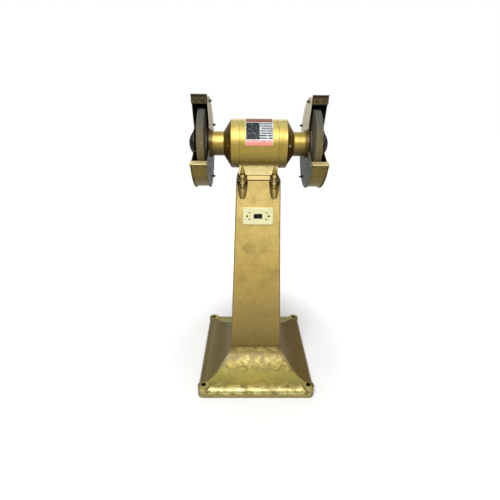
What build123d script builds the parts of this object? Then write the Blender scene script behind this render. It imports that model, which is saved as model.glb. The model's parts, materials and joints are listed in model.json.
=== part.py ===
from build123d import *
from math import atan, cos, degrees, radians, sin, sqrt
import os

# Floor-standing grinder. Millimetres, +Z up, the front faces -Y, the spindle lies along X.
# The origin is the centre of the base on the floor.

# ---- driving dimensions -------------------------------------------------------------------
axis_height = 1003.0

base_width = 495.0
base_depth = 552.0
base_edge = 16.0
shoulder_height = 45.0
shoulder_share = 0.8
base_corner = 25.0
anchor_pitch_x = 445.0
anchor_pitch_y = 496.0
anchor_hole_r = 9.0
boss_height = 47.0

foot_height = 128.0
foot_half_x = 112.0
foot_half_y = 103.0
column_top = 880.0
top_half_x = 83.5
top_half_y = 75.0
stand_wall = 9.0
cavity_top = 790.0

motor_r = 88.0
motor_bore_r = 80.0
frame_half = 70.0
shell_end = 102.5
neck_start = 130.0
neck_r = 44.0
guard_flange_r = 50.0
guard_flange = 12.0
core_half = 45.0
rotor_r = 45.5
stator_bore_r = 46.0

guard_x = 183.0
guard_sheet = 3.0
guard_depth = 57.0
guard_r = 163.0
rim_r = 158.0

wheel_r = 125.0
wheel_width = 25.0
wheel_x = 194.0
spindle_r = 16.0
bearing_r = 36.0
bearing_seat_r = 17.5
bearing_x = 140.0
bearing_width = 17.0

plate_width = 118.0
plate_height = 68.0
plate_z = 743.0

# ---- derived sizes ------------------------------------------------------------------------
cover_x = guard_x + guard_depth - guard_sheet
guard_end = guard_x + guard_depth
guard_mid = guard_x + guard_depth / 2
wheel_end = wheel_x + wheel_width
column_rise = column_top - foot_height
face_tilt = degrees(atan((foot_half_y - top_half_y) / column_rise))

os.makedirs("parts", exist_ok=True)

# ---- working planes -----------------------------------------------------------------------
axis_centre = (0, 0, axis_height)
spindle = Axis(axis_centre, (1, 0, 0))
# cross plane: local x is +Y, local y is height above the spindle
cross_plane = Plane(origin=axis_centre, x_dir=(0, 1, 0), z_dir=(1, 0, 0))
# section plane: local x is +X, local y is the radius
section_plane = Plane(origin=axis_centre, x_dir=(1, 0, 0), z_dir=(0, -1, 0))


def half_depth(z):
    """Half depth of the tapered column at a height."""
    return foot_half_y - (foot_half_y - top_half_y) * (z - foot_height) / column_rise


def front_face(z):
    """Plane on the column's sloping front, facing out, at a height."""
    tilt = radians(face_tilt)
    return Plane(origin=(0, -half_depth(z), z), x_dir=(1, 0, 0), z_dir=(0, -cos(tilt), sin(tilt)))


def rear_face(z):
    """Plane on the column's sloping back, facing out, at a height."""
    tilt = radians(face_tilt)
    return Plane(origin=(0, half_depth(z), z), x_dir=(-1, 0, 0), z_dir=(0, cos(tilt), sin(tilt)))


def polar(radius, angle):
    """Point on the cross plane; the angle rises from the front (-Y) over the top."""
    return (-radius * cos(radians(angle)), radius * sin(radians(angle)))


# ---- helpers ------------------------------------------------------------------------------
def save(piece, name):
    """Label a finished piece and write it."""
    piece.part.label = name
    export_step(piece.part, f"parts/{name}.step")


def save_pair(piece, name):
    """Write a right-hand piece and its left-hand mirror image."""
    save(piece, f"right_{name}")
    with BuildPart() as left:
        mirror(piece.part, about=Plane.YZ)
    save(left, f"left_{name}")


def save_both_ends(piece, name):
    """Write one node that holds the right-hand solids and their mirror images."""
    with BuildPart() as pair:
        add(piece.part)
        mirror(piece.part, about=Plane.YZ)
    save(pair, name)


def section(*corners):
    """Half section through the spindle, from (x, radius) corners."""
    with BuildSketch(section_plane) as face:
        with BuildLine():
            Polyline(*corners, close=True)
        make_face()
    return face.sketch


def screw(shank_r, length, head_r, head_height):
    """Round-headed screw: the head stands on z = 0 and the shank hangs below."""
    with BuildPart() as body:
        Cylinder(shank_r, length, align=(Align.CENTER, Align.CENTER, Align.MAX))
        chamfer(body.edges().sort_by(Axis.Z)[0], shank_r * 0.2)
        Cylinder(head_r, head_height, align=(Align.CENTER, Align.CENTER, Align.MIN))
        fillet(body.edges().sort_by(Axis.Z)[-1], head_height * 0.45)
        with BuildSketch(Plane.XY.offset(head_height)):
            Rectangle(head_r * 1.4, head_r * 0.26)
        extrude(amount=-head_height * 0.4, mode=Mode.SUBTRACT)
    return body.part


def hex_screw(shank_r, length, flats, head_height):
    """Hexagon-headed bolt: the head stands on z = 0 and the shank hangs below."""
    with BuildPart() as body:
        Cylinder(shank_r, length, align=(Align.CENTER, Align.CENTER, Align.MAX))
        chamfer(body.edges().sort_by(Axis.Z)[0], shank_r * 0.2)
        with BuildSketch():
            RegularPolygon(flats / sqrt(3), 6)
        extrude(amount=head_height)
        chamfer(body.faces().sort_by(Axis.Z)[-1].edges(), head_height * 0.12)
    return body.part


def hex_nut(flats, height, hole_r):
    """Hexagon nut standing on z = 0."""
    with BuildPart() as body:
        with BuildSketch():
            RegularPolygon(flats / sqrt(3), 6)
            Circle(hole_r, mode=Mode.SUBTRACT)
        extrude(amount=height)
        chamfer(body.faces().filter_by(Axis.Z).edges().filter_by(GeomType.LINE), height * 0.08)
    return body.part


# ---- stand: one hollow casting, a tapered column on a flared base --------------------------
def stand_outline(plane, top, foot, base, inset, ceiling):
    """Symmetric outline of the stand on a middle plane, drawn inset by a wall thickness."""
    run = base - foot
    top_at_ceiling = foot - (foot - top) * (ceiling - foot_height) / column_rise
    shoulder_x = foot + shoulder_share * run - inset
    with BuildSketch(plane) as outline:
        with BuildLine():
            edge = base - inset
            low = base_edge - inset
            shoulder = shoulder_height - inset
            joint = foot_height - inset
            Line((0, -inset), (edge, -inset))
            Line((edge, -inset), (edge, low))
            Bezier((edge, low), (edge, low + 0.6 * (shoulder - low)),
                   (shoulder_x + 0.13 * run, shoulder - 4), (shoulder_x, shoulder))
            Bezier((shoulder_x, shoulder), (foot + 0.40 * run - inset, shoulder + 9),
                   (foot + 0.10 * run - inset, joint - 38), (foot - inset, joint))
            Line((foot - inset, joint), (top_at_ceiling - inset, ceiling))
            Line((top_at_ceiling - inset, ceiling), (0, ceiling))
            mirror(about=Plane.YZ)
        make_face()
    return outline.sketch


def stand_body(inset, ceiling):
    """Front and side outlines extruded across each other, so the flare meets in mitred edges."""
    front = stand_outline(Plane.XZ, top_half_x, foot_half_x, base_width / 2, inset, ceiling)
    side = stand_outline(Plane.YZ, top_half_y, foot_half_y, base_depth / 2, inset, ceiling)
    with BuildPart() as body:
        extrude(front, amount=base_depth, both=True)
        extrude(side, amount=base_width, both=True, mode=Mode.INTERSECT)
    return body


# motor foot bolts stand in scooped pockets at the column's four corners
bolt_x = 60.0
bolt_y = 60.0
ear_thickness = 8.0
ear_front = 66.0
slot_width = 11.0
scoop_r = 20.0
scoop_back = 40.0
scoop_end_r = 11.0
scoop_end_back = 86.0
scoop_depth = 82.0


def scoop_mouth(height, radius, back):
    """Pocket outline, round at the back and open through the front, at a height."""
    with BuildSketch(Plane.XY.offset(height)) as mouth:
        with Locations((bolt_x, -back - radius)):
            Circle(radius)
            Rectangle(2 * radius, 90, align=(Align.CENTER, Align.MAX))
    return mouth.sketch


with BuildPart() as corner_scoop:
    # the pocket narrows and runs out through the column's front as it goes down
    loft([scoop_mouth(column_top - ear_thickness, scoop_r, scoop_back),
          scoop_mouth(column_top - ear_thickness - scoop_depth, scoop_end_r, scoop_end_back)])
    with BuildSketch(Plane.XY.offset(column_top - ear_thickness)):
        with Locations((bolt_x, -ear_front)):
            Rectangle(2 * scoop_r, 30, align=(Align.CENTER, Align.MAX))
        with Locations((bolt_x, -bolt_y)):
            Circle(slot_width / 2)
            Rectangle(slot_width, 30, align=(Align.CENTER, Align.MAX))
    extrude(amount=ear_thickness)

with BuildPart() as scoops:
    add(corner_scoop.part)
    mirror(about=Plane.YZ)
    mirror(about=Plane.XZ)

plate_face = front_face(plate_z)
access_face = rear_face(360)
gland_face = rear_face(205)
switch_opening_width = 96.0
switch_opening_height = 54.0
access_width = 130.0
access_height = 230.0
access_lip = 17.0
access_screw_inset = 8.0
access_screw_r = 2.5
gland_hole_r = 10.3
lead_hole_r = 10.0
column_edge_r = 7.0
head_core_width = 74.0
head_core_depth = 84.0
head_deck = 14.0


def access_screw_places():
    """Four corners and the middle of each long side of the rear access cover."""
    reach_x = access_width / 2 - access_screw_inset
    reach_y = access_height / 2 - access_screw_inset
    return [(side * reach_x, row * reach_y) for side in (1, -1) for row in (1, 0, -1)]


with BuildPart() as base_plan:
    with BuildSketch():
        RectangleRounded(base_width, base_depth, base_corner)
    extrude(amount=column_top)

with BuildPart() as anchor_boss:
    Cylinder(base_corner, boss_height, align=(Align.CENTER, Align.CENTER, Align.MIN))
    fillet(anchor_boss.edges().sort_by(Axis.Z)[-1], 2.5)

stand = stand_body(0, column_top)
cavity = stand_body(stand_wall, cavity_top)

with BuildPart() as stand_column:
    add(stand.part)
    add(base_plan.part, mode=Mode.INTERSECT)
    column_edges = stand_column.edges().filter_by(
        lambda edge: edge.length > 700 and edge.bounding_box().size.Z > 700)
    fillet(column_edges, column_edge_r)
    add(cavity.part, mode=Mode.SUBTRACT)
    with GridLocations(anchor_pitch_x, anchor_pitch_y, 2, 2):
        add(anchor_boss.part)
    with GridLocations(anchor_pitch_x, anchor_pitch_y, 2, 2):
        Cylinder(anchor_hole_r, 2 * boss_height + 10, mode=Mode.SUBTRACT)
    add(scoops.part, mode=Mode.SUBTRACT)
    # core of the column's solid head, with the lead hole up to the motor foot
    with BuildSketch(Plane.XY.offset(column_top - head_deck)):
        Rectangle(head_core_width, head_core_depth)
    extrude(amount=cavity_top - column_top, mode=Mode.SUBTRACT)
    with Locations((0, 0, column_top)):
        Cylinder(lead_hole_r + 6, 40, mode=Mode.SUBTRACT)
    # switch opening in front, access opening and gland hole at the back
    with BuildSketch(plate_face):
        Rectangle(switch_opening_width, switch_opening_height)
    extrude(amount=-2 * stand_wall, mode=Mode.SUBTRACT)
    with BuildSketch(access_face):
        Rectangle(access_width - 2 * access_lip, access_height - 2 * access_lip)
        with Locations(*access_screw_places()):
            Circle(access_screw_r + 0.1)
    extrude(amount=-2 * stand_wall, mode=Mode.SUBTRACT)
    with BuildSketch(gland_face):
        Circle(gland_hole_r)
    extrude(amount=-2 * stand_wall, mode=Mode.SUBTRACT)
save(stand_column, "stand_column")

# ---- rear access cover, terminal block and cable gland ------------------------------------
cover_sheet = 3.0

with BuildPart() as rear_access_cover:
    with BuildSketch(access_face):
        RectangleRounded(access_width, access_height, access_screw_inset)
        with Locations(*access_screw_places()):
            Circle(access_screw_r + 0.4, mode=Mode.SUBTRACT)
    extrude(amount=cover_sheet)
    chamfer(rear_access_cover.faces().sort_by(Axis.Y)[-1].outer_wire().edges(), 0.8)
save(rear_access_cover, "rear_access_cover")

access_screw = screw(access_screw_r, 14, 4.8, 3)
with BuildPart(access_face.offset(cover_sheet)) as rear_cover_screws:
    with Locations(*access_screw_places()):
        add(access_screw)
save(rear_cover_screws, "rear_cover_screws")

terminal_pitch = 17.0
terminal_height = 26.0
terminal_depth = 20.0

with BuildPart() as terminal_block:
    with BuildSketch(access_face):
        Rectangle(4 * terminal_pitch + 6, terminal_height)
    extrude(amount=-terminal_depth)
    with BuildSketch(access_face.offset(-terminal_depth)):
        with GridLocations(terminal_pitch, terminal_height / 2 + 1, 4, 2):
            Circle(3)
    extrude(amount=6, mode=Mode.SUBTRACT)
    with BuildSketch(access_face.offset(-terminal_depth)):
        with GridLocations(terminal_pitch, 0, 3, 1):
            Rectangle(2, terminal_height - 2)
    extrude(amount=-5)
save(terminal_block, "terminal_block")

gland_flats = 27.0
gland_hex = 6.0
gland_thread_r = 10.0
gland_thread = 20.0
gland_dome = 16.0
gland_clamp_start = 2.0
cord_r = 4.5

with BuildPart() as cable_gland:
    with BuildSketch(gland_face):
        RegularPolygon(gland_flats / sqrt(3), 6)
    extrude(amount=gland_hex)
    with BuildSketch(gland_face):
        Circle(gland_thread_r)
    extrude(amount=-gland_thread)
    with BuildSketch(gland_face.offset(gland_hex)):
        Circle(gland_flats / 2 - 0.5)
    extrude(amount=gland_dome, taper=9)
    fillet(cable_gland.edges().sort_by(Axis.Y)[-1], 1.5)
    # the clamping bore in the dome opens into a wider one through the thread
    with BuildSketch(gland_face.offset(gland_clamp_start)):
        Circle(cord_r)
    extrude(amount=gland_hex + gland_dome, mode=Mode.SUBTRACT)
    with BuildSketch(gland_face.offset(gland_clamp_start)):
        Circle(7)
    extrude(amount=-gland_thread - gland_hex, mode=Mode.SUBTRACT)
save(cable_gland, "cable_gland")

locknut_height = 5.0
locknut_gap = 0.4
gland_nut = hex_nut(gland_flats, locknut_height, gland_thread_r)
with BuildPart(gland_face.offset(-stand_wall - locknut_gap - locknut_height)) as gland_locknut:
    add(gland_nut)
save(gland_locknut, "gland_locknut")

# ---- switch plate on the column's front ----------------------------------------------------
plate_thickness = 6.0
plate_screw_x = 41.75
pin_x = 33.0
pin_y = 13.5
rocker_rest = 8.0
rocker_pivot_depth = 3.5
switch_width = 31.0
switch_height = 16.5

with BuildPart() as switch_plate:
    with BuildSketch(plate_face):
        RectangleRounded(plate_width, plate_height, 3)
    extrude(amount=plate_thickness)
    fillet(switch_plate.faces().sort_by(Axis.Y)[0].outer_wire().edges(), 2.4)
    with BuildSketch(plate_face):
        Rectangle(switch_width - 1.6, switch_height - 1.6)
        with Locations((plate_screw_x, 0), (-plate_screw_x, 0)):
            Circle(2.3)
        with GridLocations(2 * pin_x, 2 * pin_y, 2, 2):
            SlotOverall(9.5, 3.6)
    extrude(amount=plate_thickness + 1, mode=Mode.SUBTRACT)
    with BuildSketch(plate_face.offset(plate_thickness - 2.2)):
        with Locations((plate_screw_x, 0), (-plate_screw_x, 0)):
            Circle(4.2)
    extrude(amount=4, mode=Mode.SUBTRACT)
save(switch_plate, "switch_plate")

plate_screw = screw(2.0, 16, 3.8, 1.9)
with BuildPart(plate_face.offset(plate_thickness - 2.2)) as switch_plate_screws:
    with Locations((plate_screw_x, 0), (-plate_screw_x, 0)):
        add(plate_screw)
save(switch_plate_screws, "switch_plate_screws")

with BuildPart() as switch_back_box:
    with BuildSketch(plate_face.offset(-0.5)):
        Rectangle(92, 50)
    extrude(amount=-38)
    with BuildSketch(plate_face.offset(-0.5)):
        Rectangle(88, 46)
    extrude(amount=-36, mode=Mode.SUBTRACT)
    with BuildSketch(plate_face.offset(-0.5)):
        with Locations((plate_screw_x, 0), (-plate_screw_x, 0)):
            Rectangle(9, 12)
    extrude(amount=-12)
    with BuildSketch(plate_face):
        with Locations((plate_screw_x, 0), (-plate_screw_x, 0)):
            Circle(2.05)
    extrude(amount=-14, mode=Mode.SUBTRACT)
    with BuildSketch(plate_face.offset(-20)):
        with Locations((0, -20)):
            Circle(8)
    extrude(amount=-30, mode=Mode.SUBTRACT)
save(switch_back_box, "switch_back_box")

with BuildPart() as socket_inserts:
    with BuildSketch(plate_face):
        with Locations((pin_x - 3, 0), (3 - pin_x, 0)):
            Rectangle(11, 38)
    extrude(amount=-16)
    fillet(socket_inserts.edges().filter_by(Axis.Y, tolerance=3), 1)
save(socket_inserts, "socket_inserts")

# the rocker turns on two stub pins about an upright axis and rests with its right end pressed in
rocker_plane = Plane(
    origin=(plate_face.offset(plate_thickness - rocker_pivot_depth)).origin,
    x_dir=(1, 0, 0), z_dir=plate_face.y_dir)
rocker_half = 5.7
stub_r = 1.5
stub_length = 1.1

with BuildPart() as switch_housing:
    with BuildSketch(plate_face.offset(plate_thickness)):
        RectangleRounded(switch_width + 1.6, switch_height + 1.6, 1.5)
    extrude(amount=1.6)
    chamfer(switch_housing.faces().sort_by(Axis.Y)[0].edges(), 0.5)
    with BuildSketch(plate_face.offset(plate_thickness)):
        Rectangle(switch_width - 2, switch_height - 2)
    extrude(amount=-26)
    with BuildSketch(plate_face.offset(plate_thickness + 2)):
        Rectangle(switch_width - 3.8, switch_height - 4.5)
    extrude(amount=-19, mode=Mode.SUBTRACT)
    with Locations(rocker_plane):
        Cylinder(stub_r + 0.05, switch_height, mode=Mode.SUBTRACT)
save(switch_housing, "switch_housing")

with BuildPart() as rocker_switch:
    with BuildSketch(rocker_plane.rotated((0, 0, rocker_rest))):
        with BuildLine():
            Line((-12.2, 0), (-12.2, -7.4))
            Line((-12.2, -7.4), (0, -5.2))
            Line((0, -5.2), (12.2, -7.4))
            Line((12.2, -7.4), (12.2, 0))
            ThreePointArc((12.2, 0), (0, 11.4), (-12.2, 0))
        make_face()
    extrude(amount=rocker_half, both=True)
    with Locations(rocker_plane):
        Cylinder(stub_r, 2 * (rocker_half + stub_length))
save(rocker_switch, "rocker_switch")

# ---- motor frame with its cast foot --------------------------------------------------------
flange_top = 899.0
flange_thickness = flange_top - column_top
foot_top = 938.0
foot_width = 146.0
foot_depth_low = 142.0
foot_depth_high = 92.0
foot_core_top = 911.0
bolt_seat_r = 11.2
bolt_seat_top = 900.0
scallop_r = 15.0
scallop_y = 72.0
scallop_tip = 934.0
scallop_tip_y = 49.5

with BuildPart() as bolt_scallop:
    # seat for the bolt's head, and a groove up the sloping face that narrows to a point
    with Locations((bolt_x, -bolt_y, column_top + ear_thickness)):
        Cylinder(bolt_seat_r, bolt_seat_top - column_top - ear_thickness,
                 align=(Align.CENTER, Align.CENTER, Align.MIN))
    with BuildSketch(Plane.XY.offset(column_top + ear_thickness)):
        with Locations((bolt_x, -scallop_y)):
            Circle(scallop_r)
    with BuildSketch(Plane.XY.offset(scallop_tip)):
        with Locations((bolt_x, -scallop_tip_y)):
            Circle(0.5)
    loft()

with BuildPart() as bolt_scallops:
    add(bolt_scallop.part)
    mirror(about=Plane.YZ)
    mirror(about=Plane.XZ)
tie_r = 73.5
tie_angles = (0, 120, 240)

with BuildPart() as motor_frame:
    with BuildSketch(cross_plane.offset(-frame_half)):
        Circle(motor_r)
    extrude(amount=2 * frame_half)
    # flange: thick in the middle, thin slotted ears at the bolts
    with BuildSketch(Plane.XY.offset(column_top)):
        RectangleRounded(86, 2 * top_half_y + 2, 4)
        RectangleRounded(152, 76, 4)
    extrude(amount=flange_thickness)
    with BuildSketch(Plane.XY.offset(column_top)):
        RectangleRounded(152, 2 * ear_front, 6)
    extrude(amount=ear_thickness)
    # saddle block with sloping front and back, scalloped round the bolts and hollow inside
    with BuildSketch(Plane.XY.offset(flange_top)):
        Rectangle(foot_width, foot_depth_low)
    with BuildSketch(Plane.XY.offset(foot_top)):
        Rectangle(foot_width, foot_depth_high)
    loft()
    with BuildSketch(Plane.XY.offset(column_top + ear_thickness)):
        Rectangle(foot_width, 2 * ear_front)
    extrude(amount=flange_top - column_top - ear_thickness)
    add(bolt_scallops.part, mode=Mode.SUBTRACT)
    for end in (1, -1):
        with BuildSketch(cross_plane.offset(end * frame_half)):
            Circle(motor_r + 0.5)
        extrude(amount=end * 10, mode=Mode.SUBTRACT)
    with BuildSketch(Plane.XY.offset(column_top)):
        Rectangle(80, 110)
    extrude(amount=foot_core_top - column_top, taper=18, mode=Mode.SUBTRACT)
    with GridLocations(2 * bolt_x, 2 * bolt_y, 2, 2):
        Cylinder(slot_width / 2, 2 * (column_top + ear_thickness + 1), mode=Mode.SUBTRACT)
    for end in (1, -1):
        with BuildSketch(Plane.XY.offset(column_top)):
            with Locations((bolt_x, end * (bolt_y + 15)), (-bolt_x, end * (bolt_y + 15))):
                Rectangle(slot_width, 30)
        extrude(amount=flange_thickness, mode=Mode.SUBTRACT)
    with BuildSketch(cross_plane.offset(-frame_half)):
        Circle(motor_bore_r)
        with Locations((0, -motor_bore_r)):
            Rectangle(12, 8)
    extrude(amount=2 * frame_half, mode=Mode.SUBTRACT)
    with Locations((0, 0, column_top)):
        Cylinder(lead_hole_r, 110, mode=Mode.SUBTRACT)
save(motor_frame, "motor_frame")

# ---- end bells: short shell, cone, bearing neck and guard flange ---------------------------
tie_seat = 108.0
guard_screw_r = 43.0
joint_groove = 0.8

with BuildPart(cross_plane) as end_bell:
    revolve(section(
        (frame_half - 4, motor_bore_r - 2), (frame_half - 4, motor_bore_r),
        (frame_half, motor_bore_r), (frame_half, motor_r - joint_groove),
        (frame_half + joint_groove, motor_r), (shell_end, motor_r),
        (neck_start, neck_r), (guard_x - guard_flange, neck_r),
        (guard_x - guard_flange, guard_flange_r), (guard_x, guard_flange_r),
        (guard_x, bearing_r), (bearing_x + bearing_width + 2, bearing_r),
        (bearing_x + bearing_width + 2, bearing_r + 2),
        (bearing_x + bearing_width, bearing_r + 2), (bearing_x + bearing_width, bearing_r),
        (bearing_x, bearing_r), (bearing_x, 30), (128, 30), (123, 38),
        (shell_end - 4.5, motor_bore_r - 2)), axis=spindle)
    fillet(end_bell.edges().filter_by(GeomType.CIRCLE).filter_by_position(
        Axis.X, shell_end - 1, shell_end + 1), 3)
    for angle in tie_angles:
        with BuildSketch(cross_plane.offset(80)):
            with Locations(polar(tie_r, angle)):
                Circle(3.3)
        extrude(amount=40, mode=Mode.SUBTRACT)
        with BuildSketch(cross_plane.offset(tie_seat)):
            with Locations(polar(tie_r, angle)):
                Circle(7.5)
        extrude(amount=20, mode=Mode.SUBTRACT)
    with BuildSketch(cross_plane.offset(guard_x)):
        with PolarLocations(guard_screw_r, 4, start_angle=45):
            Circle(2.1)
    extrude(amount=-11, mode=Mode.SUBTRACT)
save_pair(end_bell, "end_bell")

tie_rod = hex_screw(3, 2 * tie_seat + 9, 10, 5)
with BuildPart() as tie_bolts:
    for angle in tie_angles:
        across, up = polar(tie_r, angle)
        with Locations(Location((-tie_seat, across, axis_height + up), (0, -90, 0))):
            add(tie_rod)
save(tie_bolts, "tie_bolts")

tie_nut = hex_nut(10, 5, 3)
with BuildPart() as tie_bolt_nuts:
    for angle in tie_angles:
        across, up = polar(tie_r, angle)
        with Locations(Location((tie_seat, across, axis_height + up), (0, 90, 0))):
            add(tie_nut)
save(tie_bolt_nuts, "tie_bolt_nuts")

# ---- stator ---------------------------------------------------------------------------------
stator_slots = 24
slot_mid_r = 58.0

with BuildPart() as stator_core:
    with BuildSketch(cross_plane.offset(-core_half)):
        Circle(motor_bore_r)
        Circle(stator_bore_r, mode=Mode.SUBTRACT)
        with PolarLocations(slot_mid_r, stator_slots):
            Rectangle(16, 7, mode=Mode.SUBTRACT)
        with Locations(*[polar(tie_r, angle) for angle in tie_angles]):
            Circle(4, mode=Mode.SUBTRACT)
    extrude(amount=2 * core_half)
save(stator_core, "stator_core")

with BuildPart() as stator_windings:
    with BuildSketch(cross_plane.offset(-core_half)):
        with PolarLocations(slot_mid_r, stator_slots):
            Rectangle(15.4, 6.4)
    extrude(amount=2 * core_half)
    revolve(section((core_half, 50), (core_half, 67.5), (60, 67.5), (63, 64), (63, 54), (60, 50)),
            axis=spindle)
    revolve(section((-core_half, 50), (-core_half, 67.5), (-60, 67.5), (-63, 64), (-63, 54),
                    (-60, 50)), axis=spindle)
save(stator_windings, "stator_windings")

# ---- rotor: shaft, laminated core and cage --------------------------------------------------
shaft_end = 252.0
thread_start = 229.5
flange_seat = 186.8
half_shaft = [(60, 20), (60, 19), (138, 19), (138, bearing_seat_r), (flange_seat, bearing_seat_r),
              (flange_seat, spindle_r), (thread_start - 1.5, spindle_r), (thread_start - 1.5, 12),
              (shaft_end - 1.5, 12), (shaft_end, 10.5)]

with BuildPart() as rotor_shaft:
    revolve(section((-shaft_end, 0), *[(-x, r) for x, r in reversed(half_shaft)],
                    *half_shaft, (shaft_end, 0)), axis=spindle)
save(rotor_shaft, "rotor_shaft")

with BuildPart() as rotor_core:
    with BuildSketch(cross_plane.offset(-core_half)):
        Circle(rotor_r)
        Circle(20, mode=Mode.SUBTRACT)
        with PolarLocations(40, 20):
            Circle(2.5, mode=Mode.SUBTRACT)
    extrude(amount=2 * core_half)
save(rotor_core, "rotor_core")

with BuildPart() as rotor_cage:
    with BuildSketch(cross_plane.offset(-core_half)):
        with PolarLocations(40, 20):
            Circle(2.5)
    extrude(amount=2 * core_half)
    for ring_x in (core_half, -core_half - 7):
        with BuildSketch(cross_plane.offset(ring_x)):
            Circle(44)
            Circle(33, mode=Mode.SUBTRACT)
        extrude(amount=7)
save(rotor_cage, "rotor_cage")

# ---- bearings -------------------------------------------------------------------------------
ball_r = 5.5
ball_pitch_r = 26.75
race_inner_r = 23.3
race_outer_r = 30.2
bearing_mid = bearing_x + bearing_width / 2
bearing_end = bearing_x + bearing_width


def ball_groove(radius):
    """Round groove that the balls run in, as a disc on the section plane."""
    with BuildSketch(section_plane) as groove:
        with Locations((bearing_mid, ball_pitch_r)):
            Circle(radius)
    return groove.sketch


with BuildPart(cross_plane.offset(bearing_mid)) as bearing:
    revolve(section((bearing_x, race_outer_r), (bearing_x, bearing_r), (bearing_end, bearing_r),
                    (bearing_end, race_outer_r)), axis=spindle)
    for shield_x in (bearing_x + 0.5, bearing_end - 1.5):
        revolve(section((shield_x, race_inner_r + 0.8), (shield_x, race_outer_r),
                        (shield_x + 1, race_outer_r), (shield_x + 1, race_inner_r + 0.8)),
                axis=spindle)
    revolve(ball_groove(ball_r + 0.2), axis=spindle, mode=Mode.SUBTRACT)
    with PolarLocations(ball_pitch_r, 9):
        Sphere(ball_r)
save_pair(bearing, "bearing")

with BuildPart() as bearing_inner_race:
    revolve(section((bearing_x, bearing_seat_r), (bearing_x, race_inner_r),
                    (bearing_end, race_inner_r), (bearing_end, bearing_seat_r)), axis=spindle)
    revolve(ball_groove(ball_r + 0.3), axis=spindle, mode=Mode.SUBTRACT)
save_both_ends(bearing_inner_race, "bearing_inner_races")

with BuildPart() as bearing_snap_ring:
    revolve(section((bearing_end, 32), (bearing_end, bearing_r + 1.8),
                    (bearing_end + 2, bearing_r + 1.8), (bearing_end + 2, 32)), axis=spindle)
    with Locations((bearing_end, 0, axis_height - bearing_r)):
        Box(20, 9, 12, mode=Mode.SUBTRACT)
save_both_ends(bearing_snap_ring, "bearing_snap_rings")

# ---- wheel, its flanges, blotters and nut ---------------------------------------------------
flange_r = 45.0
blotter = 0.5

with BuildPart() as inner_flange:
    revolve(section((flange_seat, spindle_r), (flange_seat, 26), (flange_seat + 2, 43),
                    (flange_seat + 3.5, flange_r), (wheel_x - blotter, flange_r),
                    (wheel_x - blotter, 34), (wheel_x - blotter - 1.5, 34),
                    (wheel_x - blotter - 1.5, spindle_r)), axis=spindle)
save_pair(inner_flange, "inner_flange")

with BuildPart() as outer_flange:
    revolve(section((wheel_end + blotter, 34), (wheel_end + blotter, flange_r),
                    (wheel_end + 5, flange_r), (wheel_end + 7, 42), (thread_start, 26),
                    (thread_start, spindle_r), (wheel_end + blotter + 1.5, spindle_r),
                    (wheel_end + blotter + 1.5, 34)), axis=spindle)
save_pair(outer_flange, "outer_flange")

with BuildPart() as blotters:
    for blotter_x in (wheel_x - blotter, wheel_end):
        with BuildSketch(cross_plane.offset(blotter_x)):
            Circle(flange_r + 3)
            Circle(34.2, mode=Mode.SUBTRACT)
        extrude(amount=blotter)
save_pair(blotters, "wheel_blotters")

with BuildPart() as grinding_wheel:
    with BuildSketch(cross_plane.offset(wheel_x)):
        Circle(wheel_r)
        Circle(spindle_r, mode=Mode.SUBTRACT)
    extrude(amount=wheel_width)
    chamfer(grinding_wheel.edges().filter_by(GeomType.CIRCLE).sort_by(SortBy.RADIUS)[-2:], 0.8)
save_pair(grinding_wheel, "grinding_wheel")

spindle_nut_body = hex_nut(36, 14, 12)
with BuildPart() as spindle_nut:
    with Locations(Location((thread_start, 0, axis_height), (0, 90, 0))):
        add(spindle_nut_body)
save_pair(spindle_nut, "spindle_nut")

# ---- wheel guards ---------------------------------------------------------------------------
# The tool rest lies along a line that falls 15 degrees towards the front. "Along" runs
# forward from the rest's middle, "below" is square to it.
rest_slope = radians(15)
rest_mid = (-145.1, -49.0)
rest_length = 26.0
rest_thickness = 4.0
rest_travel = 12.0
rest_gap = 0.3
rest_bolt_along = -7.5
rest_bolt_below = 12.0


def rest_point(along, below):
    """Point on the cross plane from its place on the tool rest."""
    return (rest_mid[0] - along * cos(rest_slope) + below * sin(rest_slope),
            rest_mid[1] - along * sin(rest_slope) - below * cos(rest_slope))


hub_r = 52.0
open_top = (-45.0, 157.0)
open_throat = (-12.0, 62.0)
open_hub = (-30.0, -12.0)
guard_screw_places = [polar(148, angle) for angle in (91, 156, 245)]
slot_mid_along = rest_bolt_along - rest_travel / 2


def guard_opening():
    """Everything in front of the guard's two opening edges, on the cross plane."""
    reach = 1.8
    far_top = (open_throat[0] + reach * (open_top[0] - open_throat[0]),
               open_throat[1] + reach * (open_top[1] - open_throat[1]))
    under_rest = rest_thickness + rest_gap
    with BuildSketch() as opening:
        with BuildLine():
            Polyline(far_top, open_throat, open_hub, rest_point(-30, under_rest),
                     rest_point(115, under_rest), (-260, far_top[1]), close=True)
        make_face()
    return opening.sketch_local


def guard_side(plane, centre_hole_r):
    """Side plate: a disc with the opening cut away, but whole round the spindle."""
    with BuildSketch(plane) as side:
        Circle(guard_r)
        add(opening_shape, mode=Mode.SUBTRACT)
        Circle(hub_r)
        Circle(centre_hole_r, mode=Mode.SUBTRACT)
        with Locations(*guard_screw_places):
            Circle(3.3, mode=Mode.SUBTRACT)
        with Locations(rest_point(slot_mid_along, rest_bolt_below)):
            SlotCenterToCenter(rest_travel + 0.6, 6.8, rotation=degrees(rest_slope),
                               mode=Mode.SUBTRACT)
    return side.sketch


tab_front = -48.0
tab_depth = 6.0
tab_bottom = 136.0
tab_top = 165.0
deflector_screw_z = 150.0
deflector_screw_x = 12.0
opening_shape = guard_opening()
inner_side = guard_side(cross_plane.offset(guard_x), 22)
outer_side = guard_side(cross_plane.offset(cover_x), 40)

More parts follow.
